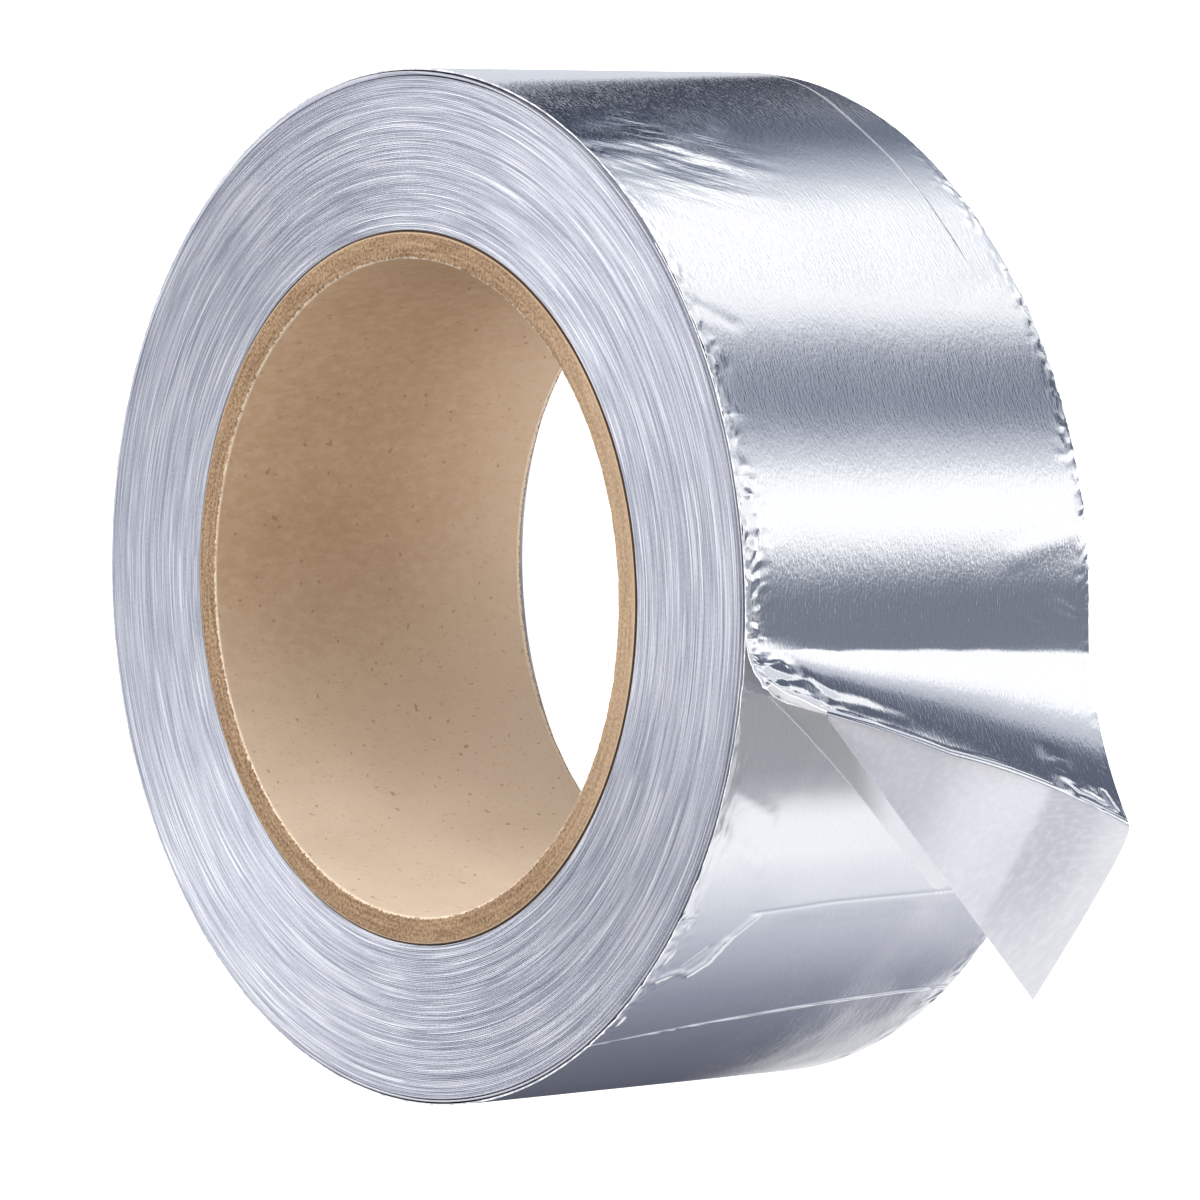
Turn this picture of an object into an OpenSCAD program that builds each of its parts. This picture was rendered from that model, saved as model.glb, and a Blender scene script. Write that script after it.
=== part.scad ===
// Roll of aluminium foil tape on a cardboard core.
// The origin is on the core's axis, half way along the tape's width, and the Z axis is the core's axis. The
// roll rests on its hidden end, at z = -tape_w / 2, and the near end faces +Z. The tape's free end lifts off
// the roll near the +X side and heads towards -Y.
// All sizes are in millimetres and all angles in degrees.

/* [Core] */
// Bore of the cardboard core
bore_d = 76.2; // [70:0.1:80]
// Wall of the cardboard core
core_wall = 3.3; // [2:0.1:5]
// How far the core's hidden end stops short of the tape's edge
core_recess = 2.5; // [0:0.1:5]

/* [Tape] */
// Width of the tape
tape_w = 50; // [38:1:75]
// Outside diameter of the wound roll
roll_d = 121; // [105:1:150]
// Thickness of the foil with its adhesive
foil_t = 0.1; // [0.08:0.01:0.2]
// Thickness of the release liner
liner_t = 0.1; // [0.08:0.01:0.2]

/* [Wound ends] */
// Number of bands that the edges of the turns make on each end
band_n = 30; // [8:1:40]
// Depth of the fine groove after each band
groove_depth = 0.25; // [0.05:0.05:0.5]
// Width of that groove
groove_w = 0.18; // [0.1:0.01:0.25]
// Most that a band sinks below the end's plane
band_sink = 0.12; // [0:0.01:0.3]

/* [Loose outermost turn] */
// Widest gap between the outermost turn and the turns below it
loose_gap = 0.5; // [0.3:0.05:1.2]
// Direction in which that gap is widest
loose_dir = 20; // [0:5:40]

/* [Lifted end] */
// Angle on the roll where the last stretch starts to loosen
loosen_angle = 45; // [30:1:60]
// Angle on the roll where the tape leaves it
lift_angle = -5; // [-15:1:5]
// How far the hidden edge stands off the roll where the tape leaves it
flare = 1.2; // [0.5:0.1:4]
// Height of the curl's apex beyond the tape's near edge
apex_rise = 8; // [5:0.5:14]
// Half angle of the curl: a smaller angle curls more tightly
curl = 36; // [30:0.5:45]
// Free length of the foil along its near edge
near_len = 15.5; // [10:0.5:18]
// Free length of the foil along its hidden edge
far_len = 26; // [18:0.5:32]
// How far the cut bows back towards the roll at its middle
cut_bow = 4.5; // [0:0.5:6]

/* [Liner flap] */
// How far the liner's hidden edge runs on past the foil
flap_len = 27.5; // [15:0.5:30]
// How far the flap's far corner stands off the roll
flap_stand_off = 10; // [6:0.5:14]
// Reach of the rounded fold at the foil's edge
fold_reach = 1.6; // [0.8:0.1:3]
// Length of the flap along the tape's near edge
flap_near_len = 0.8; // [0.5:0.1:3]

/* [Hidden] */

bore_r = bore_d / 2;
core_r = bore_r + core_wall;
roll_r = roll_d / 2;
half_w = tape_w / 2;
// One turn of the roll is the foil, its adhesive and the liner
turn_t = foil_t + liner_t;
// How deep a sheet is sunk into what it grows out of
weld = 0.05;
// How far the last stretch's edges keep inside the roll's two ends
edge_inset = 0.1;
// Radius on which the last stretch of tape lies
lap_r = roll_r - turn_t;
// The outermost whole turn is a ring with its centre moved towards loose_dir
loose_r = lap_r - loose_gap / 2;
loose_centre = [cos(loose_dir), sin(loose_dir), 0] * loose_gap / 2;
wound_r = lap_r - loose_gap - turn_t + weld;
band_pitch = (wound_r - core_r) / band_n;
// Steps of the sheets: round the roll, along the lifted end, over the flap and across the tape
lap_steps = 20;
lift_steps = 16;
flap_steps = 10;
across_steps = 10;
// Bands sink by a pattern that repeats only after many of them
sink_turn = 137.5;
round_fn = 180;
// How far the bore's cut runs past the core's ends
cut_clear = 1;
// The flap's rows stand closer together near its fold, by this power
flap_crowding = 1.6;
// Steps over which the flap's slopes are measured: along it as a share, and across it in millimetres
slope_share = 0.05;
slope_width = 1;
// Most of the flap's length that its rounded fold takes, where the flap is short
fold_share = 1 / 3;

function mix(a, b, t) = a + (b - a) * t;
function unit(v) = v / norm(v);
function ease(t) = t * t * (3 - 2 * t);
function ray(angle) = [cos(angle), sin(angle), 0];

// Wound turns: a ring with bands and grooves on both ends

// About half of the bands are flush with the end's plane, and the others sink a little
function band_level(i) = band_sink * max(0, sin(sink_turn * i));

function end_profile() = [
    for (i = [0 : band_n - 1])
        let (r = core_r + i * band_pitch, land = band_pitch - groove_w)
        each [
            [r, half_w - band_level(i)],
            [r + land, half_w - band_level(i)],
            [r + land + groove_w / 2, half_w - band_sink - groove_depth]
        ],
    [wound_r, half_w - band_level(band_n - 1)]
];

function reversed(list) = [for (i = [len(list) - 1 : -1 : 0]) list[i]];

module wound_turns() {
    near = end_profile();
    hidden = reversed([for (p = near) [p[0], -p[1]]]);
    rotate_extrude($fn = round_fn)
        polygon(concat(near, hidden));
}

module outermost_turn() {
    translate(loose_centre)
        rotate_extrude($fn = round_fn)
            translate([loose_r - turn_t, -half_w])
                square([turn_t, tape_w]);
}

// Last stretch and lifted end: a strip that loosens towards its hidden edge, then curls as a cone

lift_near = roll_r * ray(lift_angle) + [0, 0, half_w];
lift_hidden = (roll_r + flare) * ray(lift_angle) - [0, 0, half_w];
across = unit(lift_hidden - lift_near);
onward = ray(lift_angle - 90);
outward = cross(onward, across);
apex = lift_near - across * apex_rise;

// How far across the tape the height z is: 0 at the near edge, 1 at the hidden edge
function share(z) = (half_w - z) / tape_w;

function lap_angle(v) = mix(lift_angle, loosen_angle, -v);
function lap_point(v, z) =
    let (off = flare * ease(1 + v) * share(z))
    (roll_r + off) * ray(lap_angle(v)) + [0, 0, z];

// Direction on the curl's cone, at the turn angle th, and the way it moves as th grows
function cone_ray(th) =
    across * (pow(cos(curl), 2) + pow(sin(curl), 2) * cos(th))
    + outward * (sin(curl) * cos(curl) * (1 - cos(th)))
    + onward * (sin(curl) * sin(th));
function cone_step(th) =
    -across * (sin(curl) * sin(th)) + outward * (cos(curl) * sin(th)) + onward * cos(th);

// s is measured along the tape from where it leaves the roll
function cone_turn(s, z) = atan2(s, half_w + apex_rise - z) / sin(curl);
function cone_point(s, z) = apex + norm([s, half_w + apex_rise - z]) * cone_ray(cone_turn(s, z));
function cone_normal(s, z) = cross(cone_step(cone_turn(s, z)), cone_ray(cone_turn(s, z)));

// Free length of the foil at height z: the cut runs aslant and bows a little
function foil_len(z) =
    mix(near_len, far_len, share(z)) - cut_bow * 4 * share(z) * (1 - share(z));

// v runs from -1, where the strip loosens, over 0, where it leaves the roll, to 1, the foil's cut
function strip_point(v, z) = v < 0 ? lap_point(v, z) : cone_point(v * foil_len(z), z);
function strip_normal(v, z) = v < 0 ? ray(lap_angle(v)) : cone_normal(v * foil_len(z), z);

z_low = edge_inset - half_w;
z_high = half_w - edge_inset;
function z_at(j) = mix(z_low, z_high, j / across_steps);

function strip_row(v, depth) = [
    for (j = [0 : across_steps]) strip_point(v, z_at(j)) - strip_normal(v, z_at(j)) * depth
];

// A closed sheet between two grids of points, each a list of rows from z low to z high
module sheet(outer, inner) {
    rows = len(outer);
    cols = len(outer[0]);
    half = rows * cols;
    function at(i, j, side) = side * half + i * cols + j;
    skins = [
        for (i = [0 : rows - 2], j = [0 : cols - 2]) each [
            [at(i, j, 0), at(i + 1, j + 1, 0), at(i, j + 1, 0)],
            [at(i, j, 0), at(i + 1, j, 0), at(i + 1, j + 1, 0)],
            [at(i, j, 1), at(i, j + 1, 1), at(i + 1, j + 1, 1)],
            [at(i, j, 1), at(i + 1, j + 1, 1), at(i + 1, j, 1)]
        ]
    ];
    long_edges = [
        for (i = [0 : rows - 2]) each [
            [at(i, 0, 0), at(i + 1, 0, 1), at(i + 1, 0, 0)],
            [at(i, 0, 0), at(i, 0, 1), at(i + 1, 0, 1)],
            [at(i, cols - 1, 0), at(i + 1, cols - 1, 0), at(i + 1, cols - 1, 1)],
            [at(i, cols - 1, 0), at(i + 1, cols - 1, 1), at(i, cols - 1, 1)]
        ]
    ];
    short_edges = [
        for (j = [0 : cols - 2]) each [
            [at(0, j, 0), at(0, j + 1, 0), at(0, j + 1, 1)],
            [at(0, j, 0), at(0, j + 1, 1), at(0, j, 1)],
            [at(rows - 1, j, 0), at(rows - 1, j + 1, 1), at(rows - 1, j + 1, 0)],
            [at(rows - 1, j, 0), at(rows - 1, j, 1), at(rows - 1, j + 1, 1)]
        ]
    ];
    flat = function (grid) [for (row = grid) each row];
    polyhedron(concat(flat(outer), flat(inner)), concat(skins, long_edges, short_edges), convexity = 4);
}

module lifted_foil() {
    lap = [for (i = [0 : lap_steps - 1]) i / lap_steps - 1];
    lift = [for (i = [0 : lift_steps]) i / lift_steps];
    sheet(
        concat([for (v = lap) strip_row(v, 0)], [for (v = lift) strip_row(v, 0)]),
        concat([for (v = lap) strip_row(v, turn_t + weld)], [for (v = lift) strip_row(v, foil_t)])
    );
}

// Liner flap: it goes on past the foil's cut, folds over it and hangs beside the roll

// The flap's far corner, on the tape's hidden edge, and the end of its slanted cut at the near edge
corner_turn = atan(flap_len / (roll_r + flap_stand_off));
flap_start = strip_point(1, z_low);
flap_corner = (roll_r + flap_stand_off) * ray(atan2(flap_start[1], flap_start[0]) - corner_turn)
    + [0, 0, z_low];
near_tip = strip_point(1, z_high);
slant = unit(flap_corner - near_tip);

function flap_end(z) =
    mix(near_tip + slant * flap_near_len, flap_corner, (z_high - z) / (z_high - z_low));

// Way in which the strip runs at its cut, measured over the last stretch as long as the fold's reach
function run_at(z) = unit(cone_point(foil_len(z), z) - cone_point(foil_len(z) - fold_reach, z));

// A curve from the cut, round the fold and down to the flap's end
function flap_point(w, z, depth) =
    let (
        from = strip_point(1, z) - strip_normal(1, z) * depth,
        to = flap_end(z),
        reach = min(fold_reach, norm(to - from) * fold_share),
        bend = from + run_at(z) * reach
    )
    from * pow(1 - w, 2) + bend * (2 * w * (1 - w)) + to * pow(w, 2);

function flap_normal(w, z) =
    let (
        a = flap_point(max(w - slope_share, 0), z, foil_t),
        b = flap_point(min(w + slope_share, 1), z, foil_t),
        low = flap_point(w, max(z - slope_width, z_low), foil_t),
        high = flap_point(w, min(z + slope_width, z_high), foil_t)
    )
    unit(cross(b - a, low - high));

function flap_row(w, depth) = [
    for (j = [0 : across_steps]) flap_point(w, z_at(j), foil_t) - flap_normal(w, z_at(j)) * depth
];

module free_liner() {
    lift = [for (i = [0 : lift_steps]) i / lift_steps];
    flap = [for (i = [1 : flap_steps]) pow(i / flap_steps, flap_crowding)];
    sheet(
        concat([for (v = lift) strip_row(v, foil_t)], [for (w = flap) flap_row(w, 0)]),
        concat([for (v = lift) strip_row(v, turn_t)], [for (w = flap) flap_row(w, liner_t)])
    );
}

module core() {
    color("burlywood")
        translate([0, 0, core_recess - half_w])
            difference() {
                cylinder(h = tape_w - core_recess, r = core_r, $fn = round_fn);
                translate([0, 0, -cut_clear])
                    cylinder(h = tape_w - core_recess + 2 * cut_clear, r = bore_r, $fn = round_fn);
            }
}

module foil_roll() {
    color("silver")
        union() {
            wound_turns();
            outermost_turn();
            lifted_foil();
        }
}

module liner_end() {
    color("whitesmoke")
        free_liner();
}

core();
foil_roll();
liner_end();
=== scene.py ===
"""Roll of aluminium foil tape with a lifted end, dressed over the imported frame.

Sizes and formulas are in millimetres, in the frame's axes, and become metres when a point is placed.
"""
import math

import bpy
from mathutils import Matrix, Vector, noise


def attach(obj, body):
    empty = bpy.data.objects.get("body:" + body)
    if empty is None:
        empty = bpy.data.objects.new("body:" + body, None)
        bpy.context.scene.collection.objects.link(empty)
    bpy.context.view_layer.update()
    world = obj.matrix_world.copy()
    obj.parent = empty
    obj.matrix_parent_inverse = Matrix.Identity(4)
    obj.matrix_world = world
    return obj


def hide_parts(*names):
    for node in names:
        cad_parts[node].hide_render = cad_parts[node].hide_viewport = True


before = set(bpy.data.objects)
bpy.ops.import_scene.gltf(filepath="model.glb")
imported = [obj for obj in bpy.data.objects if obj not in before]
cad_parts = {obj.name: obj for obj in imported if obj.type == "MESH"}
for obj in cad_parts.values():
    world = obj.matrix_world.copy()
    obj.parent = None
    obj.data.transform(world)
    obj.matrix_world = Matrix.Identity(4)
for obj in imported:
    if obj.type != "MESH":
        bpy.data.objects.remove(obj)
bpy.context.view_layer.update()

MM = 0.001

# Core
BORE_R = 38.1
CORE_R = 41.4
CORE_RECESS = 2.5

# Tape and roll
HALF_W = 25.0
TAPE_W = 2 * HALF_W
ROLL_R = 60.5
FOIL_T = 0.1
TURN_T = 0.2
EDGE_INSET = 0.1
LOOSE_GAP = 0.5
LOOSE_DIR = math.radians(20)
WOUND_R = 59.25
TURNS = 90
WOUND_SLACK = 0.06

# Lifted end: the angles where the last turn starts, in degrees, loosens and leaves the roll
LAP_START = 398.0
LOOSEN = math.radians(45)
LIFT = math.radians(-5)
# How far the hidden edge stands off where the turn leaves the roll, and the cone of the curl
FLARE = 1.2
APEX_RISE = 8.0
CURL = math.radians(36)
# Free lengths along the near and hidden edges, and how far the cut bows back between them
NEAR_LEN = 15.5
FAR_LEN = 26.0
CUT_BOW = 4.5
# The near corner is trimmed over this span of heights, and rounded above the second height
CORNER_TRIM = 6.2
TRIM_FROM = -1.0
TRIM_SPAN = 26.0
CORNER_ROUND = 1.1
ROUND_FROM = 22.5
ROUND_SPAN = 2.4

# Liner flap: its length along the hidden edge, how far its corner stands off the roll, and its fold
FLAP_LEN = 27.5
FLAP_STAND_OFF = 10.0
FOLD_REACH = 1.6
FLAP_BELLY = 0.5
BELLY_DIR = Vector((0.6, 0.5, 0)).normalized()
# Above this height the foil hides the flap, which is only this long there
SLANT_Z = 17.2
FLAP_NEAR_LEN = 0.45

# Rows of points crowd towards the cut and towards the fold by these powers
LIFT_CROWDING = 1.35
FLAP_CROWDING = 1.4


# Small helpers

def mix(a, b, t):
    return a + (b - a) * t


def clamp(t):
    return max(0.0, min(1.0, t))


def ease(t):
    return t * t * (3 - 2 * t)


def step(low, high, t):
    return ease(clamp((t - low) / (high - low)))


def ray(angle):
    return Vector((math.cos(angle), math.sin(angle), 0))


def rough(x, y, seed=0.0):
    """Smooth noise from -1 to 1."""
    return noise.noise(Vector((x, y, seed)))


# The strip's shape: on the roll, then curled as a cone

LIFT_NEAR = ROLL_R * ray(LIFT) + Vector((0, 0, HALF_W))
LIFT_HIDDEN = (ROLL_R + FLARE) * ray(LIFT) - Vector((0, 0, HALF_W))
ACROSS = (LIFT_HIDDEN - LIFT_NEAR).normalized()
ONWARD = ray(LIFT - math.pi / 2)
OUTWARD = ONWARD.cross(ACROSS)
APEX = LIFT_NEAR - ACROSS * APEX_RISE
Z_LOW = EDGE_INSET - HALF_W
Z_HIGH = HALF_W - EDGE_INSET


def share(z):
    """How far across the tape the height z is: 0 at the near edge, 1 at the hidden edge."""
    return (HALF_W - z) / TAPE_W


def turn_radius(theta):
    """Outer radius of the last turn, which lies off-centre on the turns below it."""
    ring = ROLL_R - TURN_T - LOOSE_GAP / 2 + LOOSE_GAP / 2 * math.cos(theta - LOOSE_DIR)
    on_top = 1 - step(math.radians(45), math.radians(85), theta)
    under = step(math.radians(352), math.radians(370), theta)
    return mix(ring, ROLL_R, on_top) - 0.08 * under


def lap_point(theta, z):
    loosened = clamp((LOOSEN - theta) / (LOOSEN - LIFT))
    return (turn_radius(theta) + FLARE * ease(loosened) * share(z)) * ray(theta) + Vector((0, 0, z))


def cone_ray(th):
    s, c = math.sin(CURL), math.cos(CURL)
    across = c * c + s * s * math.cos(th)
    outward = s * c * (1 - math.cos(th))
    return ACROSS * across + OUTWARD * outward + ONWARD * (s * math.sin(th))


def cone_step(th):
    s, c = math.sin(CURL), math.cos(CURL)
    return ONWARD * math.cos(th) + OUTWARD * (c * math.sin(th)) - ACROSS * (s * math.sin(th))


def cone_turn(s, z):
    return math.atan2(s, HALF_W + APEX_RISE - z) / math.sin(CURL)


def cone_point(s, z):
    return APEX + math.hypot(s, HALF_W + APEX_RISE - z) * cone_ray(cone_turn(s, z))


def cone_normal(s, z):
    th = cone_turn(s, z)
    return cone_step(th).cross(cone_ray(th))


def foil_len(z):
    """Length of the lifted end at a height: a bowed cut, trimmed at its near corner."""
    bowed = mix(NEAR_LEN, FAR_LEN, share(z)) - CUT_BOW * 4 * share(z) * (1 - share(z))
    near_trim = CORNER_TRIM * clamp((z - TRIM_FROM) / TRIM_SPAN) ** 1.15
    return bowed - near_trim - CORNER_ROUND * clamp((z - ROUND_FROM) / ROUND_SPAN) ** 2


def theta_at(s):
    """Angle on the roll at the length s, which is negative before the tape leaves the roll."""
    return LIFT - s / ROLL_R


def arc(degrees):
    """Length s at an angle on the roll."""
    return (LIFT - math.radians(degrees)) * ROLL_R


def strip_point(s, z):
    return lap_point(theta_at(s), z) if s < 0 else cone_point(s, z)


def strip_normal(s, z):
    return ray(theta_at(s)) if s < 0 else cone_normal(s, z)


# Relief of the foil: crinkled edges, creases and soft waves

# Creases: start and end as (s, z), half width, height
CREASES = [
    # A faint line runs across the roll below the flap
    ((arc(320.8), 14.6), (arc(321.6), 3.0), 0.20, -0.04),
    ((arc(321.6), 3.0), (arc(321.9), -24.8), 0.18, -0.04),
    ((arc(321.2), 9.0), (arc(321.8), -24.8), 2.2, 0.07),
    # A crooked scratch near the edge
    ((arc(320.4), 13.6), (arc(317.2), 16.4), 0.24, 0.09),
    ((arc(317.2), 16.4), (arc(313.8), 17.6), 0.26, 0.17),
    ((arc(313.8), 17.6), (arc(312.2), 19.2), 0.24, 0.20),
    ((arc(312.2), 19.2), (arc(312.8), 21.0), 0.22, 0.13),
    ((arc(312.8), 21.0), (arc(311.6), 23.8), 0.26, 0.16),
    ((arc(316.4), 18.2), (arc(313.6), 20.6), 0.24, -0.08),
    # A crease near the far corner of the lifted end
    ((16.0, -15.8), (18.7, -16.5), 0.28, 0.20),
    ((18.7, -16.5), (21.2, -17.4), 0.34, 0.28),
    ((17.6, -17.2), (21.4, -18.6), 0.30, -0.09),
    ((21.2, -19.2), (23.0, -22.2), 0.22, -0.15),
    ((20.2, -20.4), (22.8, -21.0), 0.20, 0.13),
    ((22.4, -18.4), (23.6, -20.8), 0.20, 0.14),
    ((21.6, -22.6), (24.0, -23.6), 0.20, 0.13),
    # A swirl at its near corner, and streaks that run from there beside the cut
    ((4.4, 22.4), (4.1, 20.8), 0.35, -0.07),
    ((4.1, 20.8), (4.8, 19.4), 0.35, -0.08),
    ((4.8, 19.4), (6.4, 18.0), 0.32, -0.07),
    ((5.8, 23.5), (6.5, 21.2), 0.60, 0.08),
    ((6.5, 21.2), (6.8, 18.8), 0.55, 0.08),
    ((6.4, 18.0), (8.9, 15.1), 0.70, 0.13),
    ((8.9, 15.1), (10.2, 9.6), 0.85, 0.10),
    ((10.2, 9.6), (11.8, 5.0), 0.85, 0.06),
    ((7.6, 22.2), (8.3, 20.0), 0.40, -0.07),
    ((8.3, 20.0), (9.2, 16.8), 0.36, -0.05),
    # Small wrinkles where the end starts to lift
    ((0.2, -15.4), (1.7, -17.8), 0.45, 0.06),
    ((-0.4, -19.6), (0.9, -22.8), 0.50, 0.07),
    ((1.6, -15.6), (2.2, -19.0), 0.40, -0.03),
    # Soft dents that run in from the hidden edge
    ((arc(2.5), -23.5), (arc(0.5), -14.0), 1.3, 0.06),
    ((arc(33.0), -23.5), (arc(30.0), -15.5), 1.4, -0.06),
    ((arc(30.0), 24.5), (arc(27.0), 19.5), 0.8, -0.06),
    # Soft folds below the lifted end
    ((arc(328.5), -9.0), (arc(325.5), -18.0), 0.9, 0.06),
    ((arc(331.0), 22.5), (arc(327.0), 16.5), 0.8, 0.06),
    ((arc(337.0), 23.5), (arc(333.0), 17.0), 0.7, 0.07),
]


def fold_line(z):
    """Length s of the sharp fold that runs across the roll below the flap."""
    return arc(303.5) + 0.127 * z + 0.0021 * z * z


def crease_relief(s, z):
    """The sharp fold below the flap and the listed creases."""
    off = (s - fold_line(z) - 0.05 * rough(z * 0.8, 0.5, 23.0)) / 0.22
    total = 0.13 * (0.75 + 0.8 * rough(z * 1.1, 0.5, 24.0)) * math.exp(-off * off)
    for (s0, z0), (s1, z1), width, height in CREASES:
        if min(s0, s1) - 4 < s < max(s0, s1) + 4:
            ds, dz = s1 - s0, z1 - z0
            t = clamp(((s - s0) * ds + (z - z0) * dz) / (ds * ds + dz * dz))
            wobble = 0.25 * width * rough(s * 1.1, z * 1.1, 7.0)
            off = math.hypot(s - s0 - ds * t, z - z0 - dz * t) + wobble
            total += height * math.exp(-(off / width) ** 2)
    return total


def near_crinkle(degrees):
    """How strongly the near edge is crinkled at an angle on the roll."""
    upper = mix(0.4, 1.0, step(32, 12, degrees)) * step(70, 34, degrees)
    lower = 0.6 * step(296, 312, degrees) * step(357, 344, degrees)
    return max(0.06, upper, lower)


def far_crinkle(degrees):
    """The same for the hidden edge."""
    return max(0.10, 0.8 * step(62, 42, degrees) * step(-12, 8, degrees))


def crumple(s, off, seed):
    """Folded facets, from 0 to about 1, as crushed foil has them."""
    bend_s = s + 1.2 * rough(s * 0.5, off * 0.6, seed + 5)
    bend_off = off + 0.6 * rough(s * 0.6, off * 0.6, seed + 15)
    coarse = abs(rough(bend_s * 0.55, bend_off * 0.85, seed))
    fine = abs(rough(bend_s * 1.25, bend_off * 1.5, seed + 10))
    return 1.1 * coarse + 0.45 * fine


def edge_relief(s, z):
    """Crumpled foil along both edges, which also turn in a little."""
    degrees = math.degrees(theta_at(s)) if s < 0 else -5 - s * 0.5
    total = 0.0
    broad = step(16, 6, degrees) if degrees < 180 else 0.0
    for amount, off, reach, seed in (
        (near_crinkle(degrees), Z_HIGH - z, 2.1 + 0.9 * broad, 3.0),
        (far_crinkle(degrees), z - Z_LOW, 1.7, 9.0),
    ):
        if off < 5.0:
            patch = clamp(0.6 + 1.2 * rough(s * 0.19, 0, seed + 40))
            width = reach * (0.55 + 0.5 * patch + 0.35 * rough(s * 0.8, 0, seed + 50))
            fall = math.exp(-(off / width) ** 2)
            roll_off = -0.13 * math.exp(-off / 0.6)
            total += amount * (fall * (0.20 + 0.38 * patch) * (crumple(s, off, seed) - 0.2) + roll_off)
    return total


def wrinkle_relief(s, z):
    """A patch of slanting wrinkles high on the roll, towards its near edge."""
    across = math.degrees(theta_at(s)) - 54
    if s > 0 or abs(across) > 24:
        return 0.0
    weight = math.exp(-(across / 8.5) ** 2 - ((z - 13) / 10.5) ** 2)
    long_way, short_way = 0.42 * s - 0.91 * z, 0.91 * s + 0.42 * z
    strokes = rough(long_way * 0.10, short_way * 0.33, 11.0)
    strokes += 0.6 * rough(long_way * 0.2, short_way * 0.8, 12.0)
    return 0.33 * weight * strokes


def cut_relief(s, z):
    """A fine groove and dashes beside the cut."""
    off = foil_len(z) - s
    if s < 0 or off > 1.6:
        return 0.0
    dashes = 0.6 + 1.0 * rough(z * 0.9, 0.5, 21.0)
    return -0.07 * dashes * math.exp(-((off - 0.75) / 0.2) ** 2) - 0.115 * math.exp(-(off / 0.3) ** 2)


def tail_bend(s, z):
    """The lifted end first stays close to the roll, above all at its near edge, then bends sharply."""
    if s < 0:
        return 0.0
    bend_at = mix(3.2, 5.4, share(z) ** 1.3)
    bend_at += 0.22 * rough(z * 0.3, 0.5, 25.0)
    bend_at += 0.12 * rough(z * 1.3, 0.5, 26.0)
    fold = (s / bend_at) ** 2 if s < bend_at else math.exp((bend_at - s) / 1.6)
    return -(0.08 + 0.88 * (1 - share(z)) ** 1.5) * (1 - math.exp(-(s / 5.0) ** 2)) - 0.12 * fold


def wave_relief(s, z):
    """Soft waves, a little stronger on the lifted end."""
    soft = 0.035 * rough(s * 0.05, z * 0.09, 1.0) + 0.010 * rough(s * 0.2, z * 0.3, 2.0)
    return soft * (1 + 0.4 * clamp(s / 6))


def foil_relief(s, z):
    """All of the foil's relief. On the roll's left, where the outline is smooth, it only goes inwards."""
    lift = edge_relief(s, z) + crease_relief(s, z) + wrinkle_relief(s, z)
    lift = lift + cut_relief(s, z) + wave_relief(s, z)
    if s < 0 and 76 < math.degrees(theta_at(s)) < 285:
        return min(0.0, 0.5 * lift)
    return lift + tail_bend(s, z)


def liner_relief(s, z):
    """The liner follows the foil's soft waves and stays clear of its dents."""
    dents = edge_relief(s, z) + crease_relief(s, z)
    return wave_relief(s, z) + tail_bend(s, z) + min(0.0, 0.95 * dents) - 0.04


# Modelling helpers

def deselect_all():
    for piece in bpy.context.selected_objects:
        piece.select_set(False)


def shade(piece, degrees):
    deselect_all()
    piece.select_set(True)
    bpy.context.view_layer.objects.active = piece
    bpy.ops.object.shade_smooth_by_angle(angle=math.radians(degrees))


def grid_piece(name, rows, cols, place, spread):
    """A grid primitive whose points are placed one by one.

    spread gives each point's place on the flat sheet, which becomes its UV.
    """
    deselect_all()
    bpy.ops.mesh.primitive_grid_add(x_subdivisions=cols - 1, y_subdivisions=rows - 1, size=1)
    piece = bpy.context.active_object
    piece.name = name
    piece.data.name = name
    mesh = piece.data
    at = []
    for v in mesh.vertices:
        i = round((v.co.y + 0.5) * (rows - 1))
        j = round((v.co.x + 0.5) * (cols - 1))
        at.append((i, j))
        v.co = place(i, j) * MM
    flat = mesh.uv_layers[0].data
    for loop in mesh.loops:
        flat[loop.index].uv = Vector(spread(*at[loop.vertex_index])) * MM
    return piece


def thicken(piece, thickness, group=None, back=0):
    """Gives a sheet its thickness, with material 1 on its rim and material back on its other side."""
    solid = piece.modifiers.new("thickness", "SOLIDIFY")
    solid.thickness = thickness * MM
    solid.offset = -1
    solid.use_even_offset = False
    solid.material_offset = back
    solid.material_offset_rim = 1
    if group:
        solid.vertex_group = group
        solid.thickness_vertex_group = 0.0
    bpy.context.view_layer.objects.active = piece
    bpy.ops.object.modifier_apply(modifier=solid.name)
    for v in piece.data.vertices:
        v.co.z = min(v.co.z, HALF_W * MM)


def spun_piece(name, outline, steps):
    """A circle primitive shaped into a cross-section, then spun round the core's axis."""
    deselect_all()
    bpy.ops.mesh.primitive_circle_add(vertices=len(outline), radius=1, fill_type="NOTHING")
    piece = bpy.context.active_object
    piece.name = name
    piece.data.name = name
    order = sorted(piece.data.vertices, key=lambda v: v.index)
    for v, (r, z) in zip(order, outline):
        v.co = Vector((r, 0, z)) * MM
    bpy.ops.object.mode_set(mode="EDIT")
    bpy.ops.mesh.select_all(action="SELECT")
    bpy.ops.mesh.spin(steps=steps, angle=2 * math.pi, center=(0, 0, 0), axis=(0, 0, 1))
    bpy.ops.mesh.select_all(action="SELECT")
    bpy.ops.mesh.remove_doubles(threshold=0.000002)
    bpy.ops.mesh.normals_make_consistent(inside=False)
    bpy.ops.object.mode_set(mode="OBJECT")
    return piece


def reshape(piece, move):
    """Moves each point: move takes its angle, radius and height and gives its new radius and height."""
    for v in piece.data.vertices:
        theta = math.atan2(v.co.y, v.co.x)
        r, z = math.hypot(v.co.x, v.co.y) / MM, v.co.z / MM
        r, z = move(theta, r, z)
        v.co = (r * ray(theta) + Vector((0, 0, z))) * MM


# Pieces

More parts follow.
